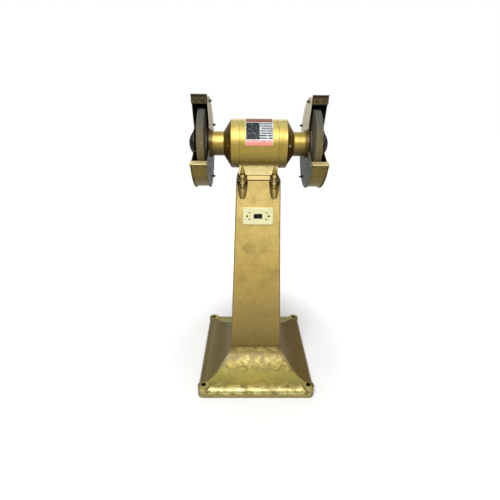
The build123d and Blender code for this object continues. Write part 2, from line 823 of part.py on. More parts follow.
with BuildPart() as guard_body:
    extrude(inner_side, amount=guard_sheet)
    with BuildSketch(cross_plane.offset(guard_x + guard_sheet)):
        Circle(rim_r)
        Circle(rim_r - guard_sheet, mode=Mode.SUBTRACT)
        add(opening_shape, mode=Mode.SUBTRACT)
        with Locations((tab_front + tab_depth / 2, (tab_bottom + tab_top) / 2)):
            Rectangle(tab_depth, tab_top - tab_bottom)
    extrude(amount=guard_depth - 2 * guard_sheet)
    with BuildSketch(Plane.XZ.offset(-tab_front)):
        with Locations((guard_mid, axis_height + deflector_screw_z)):
            with GridLocations(2 * deflector_screw_x, 0, 2, 1):
                Circle(3)
    extrude(amount=-4.6, mode=Mode.SUBTRACT)
    with Locations(cross_plane.offset(guard_x + guard_sheet)):
        with PolarLocations(guard_screw_r, 4, start_angle=45):
            CounterSinkHole(radius=2.4, counter_sink_radius=4.4, depth=guard_sheet)
save_pair(guard_body, "guard_body")

with BuildPart() as guard_cover:
    extrude(outer_side, amount=guard_sheet)
    with BuildSketch(cross_plane.offset(cover_x)):
        with PolarLocations(49, 3, start_angle=90):
            Circle(1.7)
    extrude(amount=guard_sheet, mode=Mode.SUBTRACT)
save_pair(guard_cover, "guard_cover")

cap_r = 45.0
cap_apex = 262.0
cap_sheet = 1.6
cap_rise = cap_apex - guard_end - cap_sheet
cap_ball_r = (cap_r ** 2 + cap_rise ** 2) / (2 * cap_rise)
cap_centre = cap_apex - cap_ball_r


def cap_point(radius, inset):
    """Point on the dome's outer or inner surface at a radius from the spindle."""
    return (cap_centre + sqrt((cap_ball_r - inset) ** 2 - radius ** 2), radius)


with BuildPart(cross_plane.offset(guard_end)) as spindle_cap:
    with BuildSketch(section_plane):
        with BuildLine():
            Polyline(cap_point(43, cap_sheet), (guard_end, 43), (guard_end, hub_r),
                     (guard_end + cap_sheet, hub_r), cap_point(cap_r, 0))
            ThreePointArc(cap_point(cap_r, 0), cap_point(26, 0), cap_point(0, 0))
            Line(cap_point(0, 0), cap_point(0, cap_sheet))
            ThreePointArc(cap_point(0, cap_sheet), cap_point(26, cap_sheet), cap_point(43, cap_sheet))
        make_face()
    revolve(axis=spindle)
    with BuildSketch(cross_plane.offset(guard_end)):
        with PolarLocations(49, 3, start_angle=90):
            Circle(1.8)
    extrude(amount=4, mode=Mode.SUBTRACT)
save_pair(spindle_cap, "spindle_cap")

cap_screw = screw(1.6, 6, 2.6, 1.6)
with BuildPart(cross_plane.offset(guard_end + cap_sheet)) as cap_screws:
    with PolarLocations(49, 3, start_angle=90):
        add(cap_screw)
save_both_ends(cap_screws, "cap_screws")

with BuildPart(cross_plane.offset(guard_x + guard_sheet)) as guard_mount_screws:
    with PolarLocations(guard_screw_r, 4, start_angle=45):
        Cylinder(2.1, 13, align=(Align.CENTER, Align.CENTER, Align.MAX))
        Cone(2.1, 4.2, 2.1, align=(Align.CENTER, Align.CENTER, Align.MAX))
        Box(5, 1, 0.8, align=(Align.CENTER, Align.CENTER, Align.MAX), mode=Mode.SUBTRACT)
save_both_ends(guard_mount_screws, "guard_mount_screws")

# long screws hold each outer cover; their nuts stand on the motor side of the guard
cover_screw_reach = 11.0
cover_screw = screw(3, guard_depth + cover_screw_reach, 5.5, 3.6)
cover_nut = hex_nut(10, 5, 3)

with BuildPart() as guard_cover_screws:
    for across, up in guard_screw_places:
        with Locations(Location((guard_end, across, axis_height + up), (0, 90, 0))):
            add(cover_screw)
save_both_ends(guard_cover_screws, "guard_cover_screws")

with BuildPart() as guard_cover_nuts:
    for across, up in guard_screw_places:
        with Locations(Location((guard_x - 5, across, axis_height + up), (0, 90, 0))):
            add(cover_nut)
save_both_ends(guard_cover_nuts, "guard_cover_nuts")

# ---- spark deflectors, in front of the guards' top edges ------------------------------------
deflector_bottom = 138.0
deflector_top = 168.0
deflector_sheet = 3.0
deflector_gap = 0.2
deflector_front = tab_front - deflector_gap - deflector_sheet
deflector_lip = 6.0
deflector_down = 9.0
deflector_up = 3.0

with BuildPart() as spark_deflector:
    with BuildSketch(cross_plane.offset(guard_x)):
        with BuildLine():
            Polyline(
                (deflector_front, deflector_bottom),
                (tab_front - deflector_gap, deflector_bottom),
                (tab_front - deflector_gap, deflector_top),
                (deflector_front - deflector_lip, deflector_top),
                (deflector_front - deflector_lip, deflector_top - deflector_sheet),
                (deflector_front, deflector_top - deflector_sheet), close=True)
        make_face()
    extrude(amount=guard_depth)
    bend = spark_deflector.edges().filter_by(Axis.X)
    fillet(bend.filter_by_position(Axis.Y, tab_front - 1, tab_front).sort_by(Axis.Z)[-1], 3.5)
    fillet(bend.filter_by_position(Axis.Y, deflector_front - 0.5, deflector_front + 0.5)
           .sort_by(Axis.Z)[-1], 1)
    with BuildSketch(Plane.XZ.offset(-tab_front)):
        slot_middle = deflector_screw_z + (deflector_down - deflector_up) / 2
        with Locations((guard_mid, axis_height + slot_middle)):
            with GridLocations(2 * deflector_screw_x, 0, 2, 1):
                SlotCenterToCenter(deflector_down + deflector_up + 0.6, 6.8, rotation=90)
    extrude(amount=8, mode=Mode.SUBTRACT)
save_pair(spark_deflector, "spark_deflector")

deflector_screw = screw(3, 7.6, 5.2, 3.2)
with BuildPart() as deflector_screws:
    for side in (1, -1):
        place = Plane(origin=(side * guard_mid, deflector_front, axis_height + deflector_screw_z),
                      x_dir=(1, 0, 0), z_dir=(0, -1, 0))
        with Locations(place):
            with GridLocations(2 * deflector_screw_x, 0, 2, 1):
                add(deflector_screw)
save(deflector_screws, "deflector_screws")

# ---- tool rests -------------------------------------------------------------------------------
# local x runs forward along the rest, local y is +X, local z is square up from its top
rest_plane = Plane(
    origin=(guard_mid, rest_mid[0], axis_height + rest_mid[1]),
    x_dir=(0, -cos(rest_slope), -sin(rest_slope)), z_dir=(0, -sin(rest_slope), cos(rest_slope)))
leg_offset = guard_depth / 2 - guard_sheet - 0.3 - guard_sheet / 2
leg_back = -13.0
leg_front = -2.0
leg_drop = 18.0

with BuildPart() as tool_rest:
    with BuildSketch(rest_plane):
        Rectangle(rest_length, guard_depth + 0.8)
    extrude(amount=-rest_thickness)
    fillet(tool_rest.edges().filter_by(Axis.X).sort_by(Axis.Y)[:2], 1.6)
    with BuildSketch(rest_plane.offset(-rest_thickness)):
        for side in (1, -1):
            with Locations(((leg_back + leg_front) / 2, side * leg_offset)):
                Rectangle(leg_front - leg_back, guard_sheet)
    extrude(amount=rest_thickness - leg_drop)
    with Locations(rest_plane):
        with Locations((rest_bolt_along, 0, -rest_bolt_below)):
            Cylinder(3.1, guard_depth, rotation=(90, 0, 0), mode=Mode.SUBTRACT)
save_pair(tool_rest, "tool_rest")

rest_screw = hex_screw(3, 12, 10, 4)
rest_nut = hex_nut(10, 4.4, 3.1)
rest_across, rest_up = rest_point(rest_bolt_along, rest_bolt_below)

with BuildPart() as tool_rest_bolts:
    for seat_x, turn in ((guard_x - 0.2, -90), (guard_end + 0.2, 90)):
        with Locations(Location((seat_x, rest_across, axis_height + rest_up), (0, turn, 0))):
            add(rest_screw)
    for seat_x, turn in ((guard_mid - leg_offset + guard_sheet / 2, 90),
                         (guard_mid + leg_offset - guard_sheet / 2, -90)):
        with Locations(Location((seat_x, rest_across, axis_height + rest_up), (0, turn, 0))):
            add(rest_nut)
save_pair(tool_rest_bolts, "tool_rest_bolts")

# ---- bolts that hold the motor foot to the column ---------------------------------------------
foot_washer = 2.0
ear_top = column_top + ear_thickness
ear_bottom = column_top - ear_thickness
head_seat = ear_top + foot_washer
nut_height = 8.4
foot_bolt_r = 5.0
foot_bolt_length = 40.0
foot_flats = 17.0

foot_bolt = hex_screw(foot_bolt_r, foot_bolt_length, foot_flats, 6.4)
with BuildPart(Plane.XY.offset(head_seat)) as foot_bolts:
    with GridLocations(2 * bolt_x, 2 * bolt_y, 2, 2):
        add(foot_bolt)
save(foot_bolts, "foot_bolts")

with BuildPart() as foot_washers:
    for seat in (ear_top, ear_bottom - foot_washer):
        with BuildSketch(Plane.XY.offset(seat)):
            with GridLocations(2 * bolt_x, 2 * bolt_y, 2, 2):
                Circle(10)
                Circle(foot_bolt_r + 0.3, mode=Mode.SUBTRACT)
        extrude(amount=foot_washer)
save(foot_washers, "foot_washers")

foot_nut = hex_nut(foot_flats, nut_height, foot_bolt_r)
with BuildPart(Plane.XY.offset(ear_bottom - foot_washer - nut_height)) as foot_nuts:
    with GridLocations(2 * bolt_x, 2 * bolt_y, 2, 2):
        add(foot_nut)
save(foot_nuts, "foot_nuts")

# ---- rating label, wrapped over the motor's upper front ----------------------------------------
label_width = 97.0
label_thickness = 0.6
label_from = 85.0
label_to = 178.5

with BuildPart() as rating_label:
    with BuildSketch(cross_plane.offset(-label_width / 2)):
        with BuildLine():
            inner = CenterArc((0, 0), motor_r, label_from, label_to - label_from)
            outer = CenterArc((0, 0), motor_r + label_thickness, label_from, label_to - label_from)
            Line(inner @ 0, outer @ 0)
            Line(inner @ 1, outer @ 1)
        make_face()
    extrude(amount=label_width)
save(rating_label, "rating_label")
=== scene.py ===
import json
from math import cos, pi, radians, sin

import bpy
from mathutils import Matrix, Vector


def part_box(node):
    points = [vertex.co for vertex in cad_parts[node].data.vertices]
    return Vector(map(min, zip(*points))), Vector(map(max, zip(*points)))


# Looks for the pedestal grinder. Metres, +Z up, the front faces -Y. Every shape is the frame's own.
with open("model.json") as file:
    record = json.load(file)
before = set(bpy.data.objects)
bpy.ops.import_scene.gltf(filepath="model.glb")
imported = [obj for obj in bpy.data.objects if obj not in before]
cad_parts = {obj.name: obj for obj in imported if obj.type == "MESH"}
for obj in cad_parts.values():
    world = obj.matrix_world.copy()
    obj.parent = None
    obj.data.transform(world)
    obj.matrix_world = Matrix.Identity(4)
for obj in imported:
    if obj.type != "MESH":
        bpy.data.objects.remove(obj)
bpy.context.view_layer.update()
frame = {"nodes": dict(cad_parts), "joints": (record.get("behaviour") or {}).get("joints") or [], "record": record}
nodes = frame["nodes"]

# ---- places read from the frame -------------------------------------------------------------
spin = next(joint for joint in frame["joints"] if joint["name"] == "rotor_spin")
SPINDLE_Z = spin["pos_m"][2]
STAND_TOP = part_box("stand_column")[1].z
frame_low, frame_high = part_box("motor_frame")
bell_low, bell_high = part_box("right_end_bell")
GUARD_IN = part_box("right_guard_body")[0].x
cover_low, cover_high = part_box("right_guard_cover")
WHEEL_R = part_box("right_grinding_wheel")[1].y
label_low, label_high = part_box("rating_label")
FOOT_HALF = (frame_high.x - frame_low.x) / 2
GUARD_R = cover_high.z - SPINDLE_Z
anchors = next(mount for mount in frame["record"]["mounts"] if mount["name"] == "floor_anchors")["dims"]
ANCHOR_X, ANCHOR_Y = anchors["spacing_x_mm"] / 2000, anchors["spacing_y_mm"] / 2000
ANCHOR_R = anchors["hole_r_mm"] / 1000

# ---- places on the castings that the paint follows, in metres from the floor or the middle --
RIM_TOP = 0.018                                 # end of the painted-shade band round the base's edge
SHOULDER = 0.045                                # the base's slope meets its flare
JUNCTION = 0.128                                # the flare meets the column
SIDE_OLIVE_LOW = (0.02, 0.0285)                 # height, and how far the painted shade on the base's sides reaches past the diagonal at that height
SIDE_OLIVE_TOP = (0.15, 0.005)                  # reaches past the diagonal at that height
COLUMN_FACE_LOW = (0.7, 0.0817)                 # height, and half depth of the column there
COLUMN_FACE_TOP = (STAND_TOP, 0.075)
BOLT_X = 0.060                                  # foot bolts
POCKET_START = 0.775                            # the bolt pockets in the column are above this
POCKET_X = (BOLT_X - 0.024, BOLT_X + 0.0225)    # band that holds a pocket
SCOOP_X = (BOLT_X - 0.013, BOLT_X + 0.013)      # band that holds its shallow lower end
SCALLOP_X = (BOLT_X - 0.0165, BOLT_X + 0.0165)  # band that holds a scallop in the motor's foot
FOOT_TOP = frame_low.z + 0.058
FOOT_FACE_LOW = (FOOT_TOP - 0.039, 0.071)       # height, and half depth of the motor's foot there
FOOT_FACE_TOP = (FOOT_TOP, 0.046)
STRIP_TOP = 0.019                               # top of the painted bright strip, above the foot's joint
CONE_START = bell_low.x + 0.0355                # start of an end bell's turned cone,
NECK_START = bell_low.x + 0.065                 # of its neck
END_FLANGE = bell_high.x - 0.012                # and of the flange at its end
GUARD_HUB_R = 0.0555                            # the painted shade and reflection of the neck round a guard's hub
SHEET_INSIDE = GUARD_IN + 0.0022                # the inside of a guard's sheet
RIM_INSIDE = GUARD_R - 0.0075                   # and of its rim

# ---- fine patterns --------------------------------------------------------------------------
LABEL_RED = (0.6, 13)                           # degrees round the spindle, up from the front
LABEL_DASHES = (8.4, 11)
LABEL_FIELD = (15.2, 60)
LABEL_PLUM = (61.5, 93)
LABEL_MARGIN = 0.0012
RULE_PITCH = radians(5.6)
WIRE_PITCH = 0.0009                             # turns of the winding
SHEET_PITCH = 0.001                             # laminations of the motor's cores


# ---- shader helpers -------------------------------------------------------------------------
def srgb(red, green, blue):
    """Linear colour from 0 to 255 display values."""
    return tuple(((c / 255 + 0.055) / 1.055) ** 2.4 if c > 10 else c / 255 / 12.92
                 for c in (red, green, blue)) + (1.0,)


class Surface:
    """A Principled material, with short calls for the nodes that this file uses."""

    def __init__(self, name, metallic=0.0, roughness=0.5, coat=0.0, coat_roughness=0.1, specular=0.5):
        self.material = bpy.data.materials.new(name)
        self.material.use_nodes = True
        self.tree = self.material.node_tree
        self.shader = self.tree.nodes["Principled BSDF"]
        self.shader.inputs["Metallic"].default_value = metallic
        self.shader.inputs["Roughness"].default_value = roughness
        self.shader.inputs["Specular IOR Level"].default_value = specular
        self.shader.inputs["Coat Weight"].default_value = coat
        self.shader.inputs["Coat Roughness"].default_value = coat_roughness
        self.place = self.tree.nodes.new("ShaderNodeTexCoord").outputs["Object"]
        split = self.node("ShaderNodeSeparateXYZ", {0: self.place})
        self.x, self.y, self.z = split.outputs

    def node(self, kind, inputs, **settings):
        """New node with its settings, and inputs that are numbers, colours or other sockets."""
        made = self.tree.nodes.new(kind)
        for key, value in settings.items():
            setattr(made, key, value)
        for key, value in inputs.items():
            if isinstance(value, bpy.types.NodeSocket):
                self.tree.links.new(value, made.inputs[key])
            else:
                made.inputs[key].default_value = value
        return made

    def math(self, operation, *values):
        inputs = dict(enumerate(values))
        return self.node("ShaderNodeMath", inputs, operation=operation).outputs[0]

    def size(self, value):
        return self.math("ABSOLUTE", value)

    def plus(self, first, second):
        return self.math("ADD", first, second)

    def minus(self, first, second):
        return self.math("SUBTRACT", first, second)

    def times(self, first, second):
        return self.math("MULTIPLY", first, second)

    def diagonal(self, first, second):
        """Length of the diagonal across two distances."""
        return self.math("SQRT", self.plus(self.math("POWER", first, 2.0), self.math("POWER", second, 2.0)))

    def above_spindle(self):
        """Height above the spindle, and distance from its axis."""
        up = self.minus(self.z, SPINDLE_Z)
        return up, self.diagonal(up, self.y)

    def step(self, value, low, high):
        """Smooth 0 to 1 as value goes from low to high."""
        inputs = {0: value, 1: low, 2: high}
        return self.node("ShaderNodeMapRange", inputs, interpolation_type="SMOOTHSTEP").outputs[0]

    def scale(self, value, low, high, to_low, to_high):
        inputs = {0: value, 1: low, 2: high, 3: to_low, 4: to_high}
        return self.node("ShaderNodeMapRange", inputs).outputs[0]

    def noise(self, size, detail=3.0, stretch=(1, 1, 1), rough=0.55):
        """Noise from 0 to 1 with features about that many metres across."""
        place = self.place
        if stretch != (1, 1, 1):
            place = self.node("ShaderNodeMapping", {"Vector": place, "Scale": stretch}).outputs[0]
        inputs = {"Vector": place, "Scale": 1 / size, "Detail": detail, "Roughness": rough}
        return self.node("ShaderNodeTexNoise", inputs).outputs[0]

    def wander(self, size, detail, low, high):
        """Noise that runs from about low to about high."""
        return self.scale(self.noise(size, detail), 0.3, 0.7, low, high)

    def cells(self, size):
        """Distance from the middle of cells about that many metres across."""
        inputs = {"Vector": self.place, "Scale": 1 / size}
        return self.node("ShaderNodeTexVoronoi", inputs).outputs["Distance"]

    def mix(self, factor, first, second):
        """The first colour at 0, the second at 1."""
        return self.node("ShaderNodeMix", {0: factor, 6: first, 7: second}, data_type="RGBA").outputs[2]

    def band(self, value, low, high, soft):
        """1 between low and high, 0 outside, with soft edges."""
        rise = self.step(value, low - soft, low + soft)
        fall = self.step(value, high - soft, high + soft)
        return self.minus(rise, fall)

    def by_height(self, low, high):
        """Number that changes evenly with height, from (height, number) at two places."""
        return self.scale(self.z, low[0], high[0], low[1], high[1])

    def rounded(self, radius):
        """Normal that runs smoothly over edges within that radius."""
        return self.node("ShaderNodeBevel", {"Radius": radius}, samples=6).outputs[0]

    def edges(self, radius):
        """1 on outer and inner edges within about that radius."""
        rounded = self.rounded(radius)
        plain = self.tree.nodes.new("ShaderNodeNewGeometry").outputs["Normal"]
        cosine = self.node("ShaderNodeVectorMath", {0: rounded, 1: plain}, operation="DOT_PRODUCT")
        return self.step(self.minus(1.0, cosine.outputs["Value"]), 0.004, 0.06)

    def hollows(self, distance):
        """1 deep in corners and recesses, 0 in the open."""
        open_sky = self.node("ShaderNodeAmbientOcclusion", {"Distance": distance}, samples=6)
        return self.minus(1.0, open_sky.outputs["AO"])

    def set(self, socket, value):
        self.tree.links.new(value, self.shader.inputs[socket])

    def bump(self, height, depth, strength=1.0, under=None):
        """Bump with a height from 0 to 1 that stands for that many metres."""
        inputs = {"Height": height, "Distance": depth, "Strength": strength}
        if under is not None:
            inputs["Normal"] = under
        return self.node("ShaderNodeBump", inputs).outputs[0]


# ---- materials ------------------------------------------------------------------------------
def bolt_pocket_shade(paint, out_x):
    """Painted shade: dark brown round the foot bolts, with a painted highlight in line with each bolt."""
    from_bolt = paint.size(paint.minus(out_x, BOLT_X))
    dull = paint.mix(paint.noise(0.008, 4), srgb(70, 55, 14), srgb(106, 86, 28))
    # painted highlight in line with each bolt
    rubbed = paint.step(from_bolt, 0.009, 0.001)
    rubbed = paint.times(rubbed, paint.step(paint.z, POCKET_START + 0.03, POCKET_START + 0.075))
    return paint.mix(rubbed, dull, srgb(176, 152, 70))


def stand_enamel():
    """Hammered gold enamel on the casting, with painted light: brighter at the top, darker and more olive below.
    """
    paint = Surface("stand_enamel", metallic=0.5, roughness=0.4, coat=0.15, coat_roughness=0.2)
    blotch = paint.noise(0.035, 5, rough=0.65)
    # painted light: the column's colour is darker low down and brighter towards the top
    drift = paint.plus(paint.z, paint.scale(paint.noise(0.22, 2), 0, 1, -0.07, 0.07))
    column = paint.mix(paint.step(drift, 0.05, 0.6), srgb(112, 96, 46), srgb(196, 166, 84))
    column = paint.mix(paint.step(drift, 0.45, 0.82), column, srgb(244, 214, 128))
    column = paint.mix(paint.scale(blotch, 0.42, 0.68, 0.0, 0.35), column, srgb(160, 134, 64))
    stain = paint.times(paint.step(paint.noise(0.09, 3), 0.46, 0.72), 0.5)
    column = paint.mix(stain, column, srgb(132, 114, 56))
    # flare: yellower gold with worn pale patches; painted shade at its top, an olive painted reflection above the
    # shoulder, a painted highlight on the shoulder and painted shade on the edge
    patches = paint.step(paint.noise(0.026, 5, rough=0.72), 0.36, 0.66)
    flare = paint.mix(patches, srgb(114, 102, 42), srgb(196, 178, 96))
    cloud = paint.times(paint.step(paint.noise(0.07, 3), 0.45, 0.7), 0.6)
    flare = paint.mix(cloud, flare, srgb(128, 112, 50))
    level = paint.plus(paint.z, paint.scale(blotch, 0, 1, -0.006, 0.006))
    # painted shade: the top of the flare is darker
    shaded = paint.times(paint.step(level, JUNCTION - 0.053, JUNCTION - 0.013), 0.85)
    flare = paint.mix(shaded, flare, srgb(102, 88, 40))
    # painted reflection: an olive band above the shoulder
    olive = paint.band(level, SHOULDER + 0.001, SHOULDER + 0.015, 0.005)
    flare = paint.mix(olive, flare, srgb(170, 162, 80))
    # painted highlight: pale on the rounded shoulder below the olive band, broken by the patches
    pale = paint.times(paint.step(level, SHOULDER + 0.002, SHOULDER - 0.006), patches)
    flare = paint.mix(pale, flare, srgb(212, 200, 134))
    # painted shade: darker band round the base's upright edge
    flare = paint.mix(paint.step(level, RIM_TOP + 0.004, RIM_TOP - 0.004), flare, srgb(146, 134, 80))
    crest = paint.times(paint.band(paint.z, JUNCTION - 0.016, JUNCTION + 0.002, 0.004), patches)
    flare = paint.mix(crest, flare, srgb(178, 160, 92))
    # painted shade: dark line on the column just above where it meets the flare
    column = paint.mix(paint.step(paint.z, JUNCTION + 0.007, JUNCTION + 0.001), column, srgb(86, 70, 36))
    colour = paint.mix(paint.step(paint.z, JUNCTION - 0.0008, JUNCTION + 0.0008), flare, column)
    # painted shade inside the bolt pockets, behind the column's front and back faces, with a painted highlight in
    # line with each bolt
    out_x = paint.size(paint.x)
    out_y = paint.size(paint.y)
    depth = paint.minus(paint.by_height(COLUMN_FACE_LOW, COLUMN_FACE_TOP), out_y)
    recess = paint.step(depth, 0.001, 0.005)
    run_out = paint.times(paint.band(out_x, *SCOOP_X, 0.001), paint.step(depth, 0.0002, 0.001))
    started = paint.step(paint.z, POCKET_START - 0.005, POCKET_START + 0.005)
    pocket = paint.times(paint.band(out_x, *POCKET_X, 0.001), started)
    pocket = paint.times(pocket, paint.math("MAXIMUM", run_out, recess))
    colour = paint.mix(pocket, colour, bolt_pocket_shade(paint, out_x))
    joint = paint.step(paint.z, STAND_TOP - 0.0028, STAND_TOP - 0.0018)
    colour = paint.mix(joint, colour, srgb(88, 66, 28))
    # painted shade: darker olive on every face that looks left or right, and on the slopes at the base's two
    # sides, browner on the right
    out = paint.tree.nodes.new("ShaderNodeNewGeometry").outputs["Normal"]
    facing = paint.node("ShaderNodeSeparateXYZ", {0: out})
    sideways = paint.step(paint.size(facing.outputs[0]), 0.3, 0.6)
    beside = paint.plus(paint.minus(out_x, out_y), paint.by_height(SIDE_OLIVE_LOW, SIDE_OLIVE_TOP))
    low_down = paint.step(paint.z, JUNCTION + 0.022, JUNCTION - 0.008)
    beside = paint.times(paint.step(beside, -0.003, 0.006), low_down)
    sideways = paint.math("MAXIMUM", sideways, beside)
    shade = paint.mix(paint.step(paint.x, -0.05, 0.05), srgb(108, 98, 54), srgb(108, 88, 32))
    colour = paint.mix(sideways, colour, shade)
    # hammer mottling
    dimple = paint.cells(0.0034)
    colour = paint.mix(paint.scale(dimple, 0.1, 0.9, 0.0, 0.35), colour, srgb(118, 98, 40))
    fleck = paint.step(paint.noise(0.0022, 2), 0.6, 0.68)
    colour = paint.mix(paint.times(fleck, 0.3), colour, srgb(250, 226, 150))
    # painted shade in recesses, small chips and worn edges
    hollow_shade = paint.times(paint.hollows(0.022), paint.wander(0.02, 3, 0.6, 1.1))
    colour = paint.mix(paint.step(hollow_shade, 0.4, 1.0), colour, srgb(84, 62, 28))
    # painted shade: dark inside the anchor holes
    from_anchor = paint.diagonal(paint.minus(out_x, ANCHOR_X), paint.minus(out_y, ANCHOR_Y))
    hole = paint.step(from_anchor, ANCHOR_R + 0.0012, ANCHOR_R + 0.0004)
    colour = paint.mix(hole, colour, srgb(20, 16, 10))
    chips = paint.step(paint.noise(0.0075, 2), 0.71, 0.745)
    colour = paint.mix(chips, colour, srgb(84, 62, 34))
    wear = paint.times(paint.edges(0.003), paint.step(paint.noise(0.02, 4), 0.3, 0.6))
    colour = paint.mix(paint.times(wear, 0.8), colour, srgb(86, 72, 48))
    paint.set("Base Color", colour)
    rough = paint.wander(0.02, 4, 0.3, 0.5)
    rough = paint.plus(rough, paint.times(paint.math("MAXIMUM", pocket, hole), 0.3))
    flare_dull = paint.band(paint.z, JUNCTION - 0.058, JUNCTION - 0.003, 0.01)
    rough = paint.plus(rough, paint.times(flare_dull, 0.1))
    paint.set("Roughness", paint.plus(rough, paint.times(wear, 0.15)))
    cast = paint.bump(paint.noise(0.05, 3), 0.0016, 0.7, paint.rounded(0.0015))
    paint.set("Normal", paint.bump(dimple, 0.0003, 0.6, cast))
    return paint.material


def motor_enamel():
    """Smooth gold enamel with painted light: darker below the spindle and lighter on top, turned cones in a
    painted-shade brown, and a pale, painted-lit foot.
    """
    paint = Surface("motor_enamel", metallic=0.6, roughness=0.36, coat=0.12, coat_roughness=0.2)
    up = paint.minus(paint.z, SPINDLE_Z)
    # painted light: darker below the spindle and lighter on top, with a painted reflection line just above the
    # spindle
    lower = paint.mix(paint.step(up, -0.088, 0.002), srgb(64, 60, 22), srgb(176, 150, 66))
    gold = paint.mix(paint.step(up, 0.0075, 0.0085), lower, srgb(182, 160, 78))
    gold = paint.mix(paint.step(up, 0.05, 0.08), gold, srgb(230, 216, 132))
    streak = paint.noise(0.0035, 3, stretch=(1, 0.06, 0.06))
    colour = paint.mix(paint.scale(streak, 0.36, 0.64, 0.0, 0.55), gold, srgb(148, 128, 52))
    cloud = paint.step(paint.noise(0.02, 4), 0.5, 0.75)
    colour = paint.mix(paint.times(cloud, 0.35), colour, srgb(146, 112, 42))
    across = paint.size(paint.x)
    # painted shade: the turned cones and the flanges at the bells' ends are a deeper brown
    cone = paint.band(across, CONE_START, NECK_START - 0.0005, 0.0008)
    flange = paint.step(across, END_FLANGE - 0.0005, END_FLANGE + 0.0005)
    brown = paint.math("MAXIMUM", cone, flange)
    colour = paint.mix(brown, colour, srgb(98, 76, 28))
    # necks: painted shade darkens the lower half
    neck = paint.step(across, NECK_START - 0.001, NECK_START + 0.001)
    under = paint.times(neck, paint.step(up, 0.004, -0.02))
    colour = paint.mix(paint.times(under, 0.75), colour, srgb(72, 56, 22))
    # painted light: the foot under the motor is paler, lit on its up-facing front
    foot = paint.times(paint.step(paint.z, FOOT_TOP + 0.002, FOOT_TOP - 0.003),
                       paint.step(across, FOOT_HALF + 0.002, FOOT_HALF + 0.001))
    lit_foot = paint.mix(paint.noise(0.02, 4), srgb(174, 160, 106), srgb(158, 142, 88))
    colour = paint.mix(foot, colour, lit_foot)
    # painted shade in the scallops and on the ears, behind the foot's sloping face, with a painted highlight in
    # line with each bolt
    out_y = paint.size(paint.y)
    behind = paint.step(paint.minus(paint.by_height(FOOT_FACE_LOW, FOOT_FACE_TOP), out_y), 0.0003, 0.004)
    near_bolt = paint.band(across, *SCALLOP_X, 0.001)
    scallop = paint.times(paint.times(foot, near_bolt), behind)
    colour = paint.mix(scallop, colour, bolt_pocket_shade(paint, across))
    # painted light: a bright flange strip between dark joints, lit against the motor's shadow
    over_joint = paint.minus(paint.z, frame_low.z)
    strip = paint.times(paint.step(over_joint, STRIP_TOP + 0.0002, STRIP_TOP - 0.0002), foot)
    strip = paint.times(strip, paint.minus(1.0, near_bolt))
    line = paint.minus(1.0, paint.band(over_joint, 0.0022, STRIP_TOP - 0.0018, 0.0006))
    colour = paint.mix(strip, colour, paint.mix(line, srgb(236, 214, 146), srgb(104, 80, 34)))
    # painted shade in recesses
    hollow_shade = paint.step(paint.hollows(0.012), 0.45, 0.98)
    colour = paint.mix(hollow_shade, colour, srgb(84, 60, 24))
    wear = paint.times(paint.edges(0.0016), paint.step(paint.noise(0.012, 4), 0.35, 0.6))
    colour = paint.mix(paint.times(wear, 0.7), colour, srgb(104, 80, 40))
    paint.set("Base Color", colour)
    satin = paint.wander(0.015, 4, 0.34, 0.48)
    satin = paint.plus(satin, paint.times(scallop, 0.2))
    paint.set("Roughness", paint.plus(satin, paint.times(foot, 0.15)))
    peel = paint.bump(paint.noise(0.0035, 2), 0.00012, 0.5, paint.rounded(0.0008))
    paint.set("Normal", paint.bump(paint.noise(0.03, 2), 0.0005, 0.4, peel))
    return paint.material


def guard_enamel():
    """Gold-olive rim, painted light on the side toward the motor, shaded dark below and lit pale above, and
    painted shade inside.
    """
    paint = Surface("guard_enamel", metallic=0.4, roughness=0.45, coat=0.05, coat_roughness=0.25,
                    specular=0.3)
    across = paint.size(paint.x)
    up, radius = paint.above_spindle()
    ragged = paint.scale(paint.noise(0.05, 3), 0, 1, -0.02, 0.02)
    rim = paint.mix(paint.noise(0.03, 4), srgb(94, 80, 30), srgb(130, 113, 46))
    # painted light: the side toward the motor is shaded dark below the spindle and lit pale above
    face = paint.mix(paint.step(paint.plus(up, ragged), -0.05, 0.0), srgb(41, 39, 16), srgb(255, 246, 218))
    # painted shade and reflection of the motor's neck: browner round the hub
    hub = paint.step(radius, GUARD_HUB_R + 0.0025, GUARD_HUB_R - 0.0025)
    face = paint.mix(hub, face, srgb(84, 64, 30))
    inner_side = paint.step(across, GUARD_IN + 0.0012, GUARD_IN + 0.0006)
    colour = paint.mix(inner_side, paint.mix(hub, rim, srgb(60, 46, 22)), face)
    # painted shade inside the guard: behind the sheet on the motor side and under the rim
    within = paint.band(across, SHEET_INSIDE, cover_low.x + 0.0008, 0.0003)
    under = paint.step(radius, RIM_INSIDE + 0.0003, RIM_INSIDE - 0.0003)
    inside_shade = paint.times(within, under)
    black = paint.mix(paint.noise(0.02, 4), srgb(24, 24, 24), srgb(52, 48, 40))
    colour = paint.mix(inside_shade, colour, black)
    # painted shade in recesses
    hollow_shade = paint.step(paint.hollows(0.012), 0.45, 0.95)
    colour = paint.mix(hollow_shade, colour, srgb(48, 42, 30))
    # painted shade: darker along every edge
    edge = paint.edges(0.0012)
    colour = paint.mix(paint.times(edge, 0.75), colour, srgb(62, 54, 34))
    paint.set("Base Color", colour)
    paint.set("Roughness", paint.plus(paint.wander(0.02, 4, 0.32, 0.46), paint.times(inside_shade, 0.35)))
    roll = paint.bump(paint.noise(0.004, 3), 0.0002, 0.5, paint.rounded(0.0006))
    paint.set("Normal", paint.bump(paint.noise(0.06, 2), 0.001, 0.35, roll))
    return paint.material


